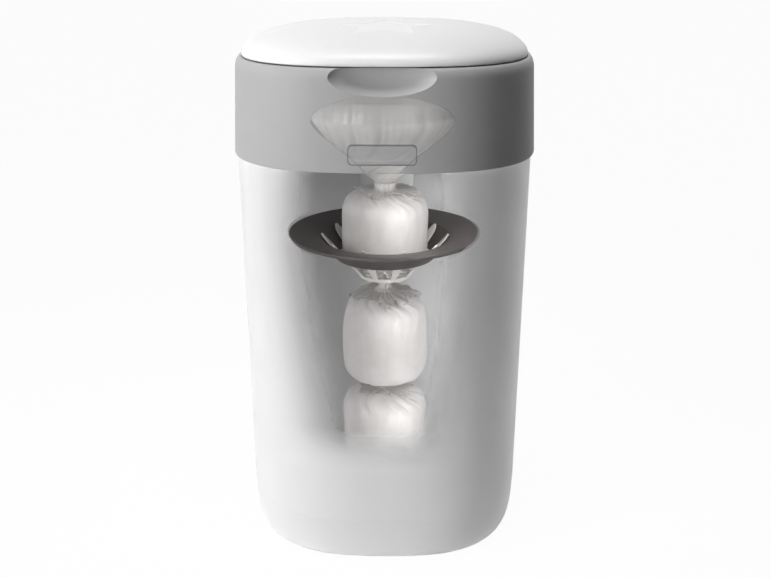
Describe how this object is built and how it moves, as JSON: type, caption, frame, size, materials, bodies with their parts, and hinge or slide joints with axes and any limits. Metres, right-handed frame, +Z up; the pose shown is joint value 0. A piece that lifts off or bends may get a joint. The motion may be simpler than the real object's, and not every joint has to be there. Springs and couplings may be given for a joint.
{
  "type": "nappy bin",
  "caption": "Tall nappy bin with a domed hinged lid, grey collar, twist dial with a film cassette, and a finger flange that grips the wrapped chain inside.",
  "frame": {"origin": "on the floor, under the middle of the bin", "axes": "+Z up, -Y is the front with the finger scoop, +X to the right seen from the front"},
  "size_m": [0.25, 0.25, 0.4445],
  "materials": {
    "lid_plastic": "satin",
    "tub_plastic": "satin",
    "collar_plastic": "satin",
    "inner_plastic": "satin",
    "flange_plastic": "matte",
    "finger_plastic": "satin",
    "dial_plastic": "satin",
    "pawl_plastic": "satin",
    "film": "gloss",
    "wrapped_film": "satin",
    "seal_rubber": "matte",
    "steel": "polished"
  },
  "bodies": {
    "tub": {"tub_shell": "tub_plastic"},
    "top_section": {"collar": "collar_plastic", "name_plate": "collar_plastic", "inner_deck": "inner_plastic", "dial_retainer": "inner_plastic", "deck_screw_1": "steel", "deck_screw_2": "steel", "deck_screw_3": "steel", "deck_screw_4": "steel", "retainer_screw_1": "steel", "retainer_screw_2": "steel", "retainer_screw_3": "steel", "retainer_screw_4": "steel", "hanger_bracket": "tub_plastic", "bracket_screw_1": "steel", "bracket_screw_2": "steel", "flange_screw_1": "steel", "flange_screw_2": "steel", "holder_flange": "flange_plastic", "gripper_fingers": "finger_plastic", "cutter_housing": "inner_plastic", "cutter_blade": "steel", "pawl_pin": "steel", "hinge_pin_left": "steel", "hinge_pin_right": "steel", "wrapped_bundle_1": "wrapped_film"},
    "pawl": {"click_pawl": "pawl_plastic"},
    "dial": {"twist_ring": "dial_plastic", "cassette_body": "inner_plastic", "cassette_cover": "inner_plastic", "film_pack": "film", "film_funnel": "film"},
    "chain": {"wrapped_bundle_2": "wrapped_film", "wrapped_bundle_3": "wrapped_film"},
    "lid": {"lid_shell": "lid_plastic", "lid_liner": "lid_plastic", "lid_seal": "seal_rubber", "liner_screw_1": "steel", "liner_screw_2": "steel", "liner_screw_3": "steel", "liner_screw_4": "steel"}
  },
  "joints": [
    {"name": "top_lift", "type": "slide", "parent": "tub", "child": "top_section", "axis": [0, 0, 1], "range_m": [0, 0.34]},
    {"name": "lid_hinge", "type": "hinge", "parent": "top_section", "child": "lid", "pos_m": [0, 0.118, 0.4202], "axis": [-1, 0, 0], "range_deg": [0, 100]},
    {"name": "dial_turn", "type": "hinge", "parent": "top_section", "child": "dial", "pos_m": [0, 0, 0.405], "axis": [0, 0, 1], "continuous": true},
    {"name": "pawl_click", "type": "hinge", "parent": "top_section", "child": "pawl", "pos_m": [0.07778, 0.07778, 0.4], "axis": [0, 0, -1], "range_deg": [0, 7], "stiffness_Nm_per_rad": 0.1},
    {"name": "chain_swing", "type": "hinge", "parent": "top_section", "child": "chain", "pos_m": [0, 0, 0.2243], "axis": [0, 1, 0], "range_deg": [-6, 6]}
  ]
}
